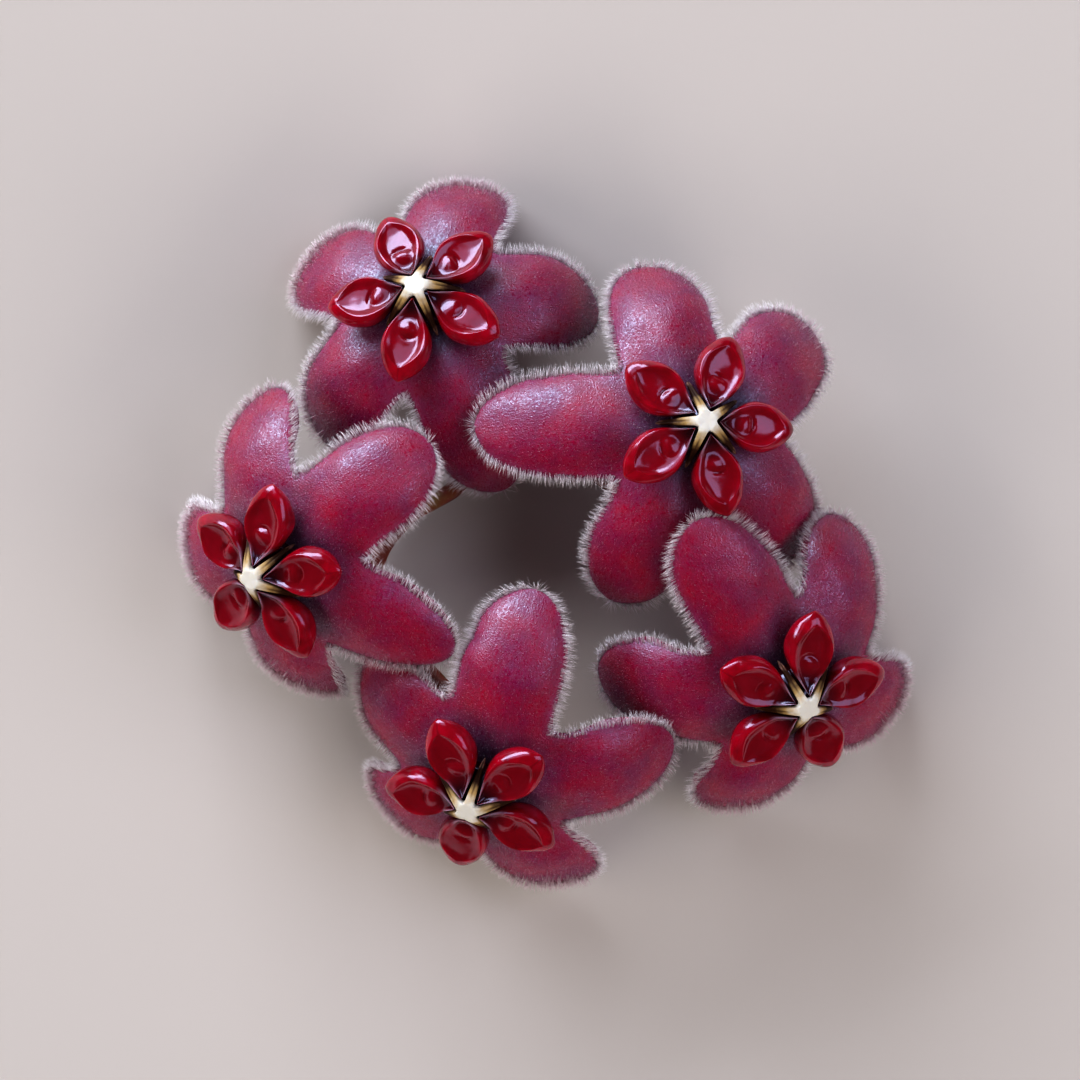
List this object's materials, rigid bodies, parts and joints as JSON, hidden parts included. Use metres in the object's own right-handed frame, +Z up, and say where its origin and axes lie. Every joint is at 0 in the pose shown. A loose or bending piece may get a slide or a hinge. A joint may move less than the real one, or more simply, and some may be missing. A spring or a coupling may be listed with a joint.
{
  "type": "hoya flower umbel",
  "caption": "Picked umbel of velvety magenta hoya flowers with bent-back fringed petals, glossy dark red coronas, cream star centres and short stalks, lying flowers up.",
  "frame": {"origin": "on the surface the umbel lies on, at the centre of its footprint", "axes": "+Z up, towards the flower faces; +Y towards the top of the view from above; +X to its right"},
  "size_m": [0.0698, 0.0679, 0.0244],
  "materials": {
    "petal_velvet": "matt velvety petal with a hairy fringe",
    "corona_wax": "wet-looking glossy wax",
    "column_cream": "smooth waxy cream",
    "stalk": "dull reddish-brown stalk"
  },
  "bodies": {
    "root": {"corolla_1": "petal_velvet", "corona_1": "corona_wax", "column_1": "column_cream", "pedicel_1": "stalk", "corolla_2": "petal_velvet", "corona_2": "corona_wax", "column_2": "column_cream", "pedicel_2": "stalk", "corolla_3": "petal_velvet", "corona_3": "corona_wax", "column_3": "column_cream", "pedicel_3": "stalk", "corolla_4": "petal_velvet", "corona_4": "corona_wax", "column_4": "column_cream", "pedicel_4": "stalk", "corolla_5": "petal_velvet", "corona_5": "corona_wax", "column_5": "column_cream", "pedicel_5": "stalk", "peduncle": "stalk"}
  },
  "joints": []
}
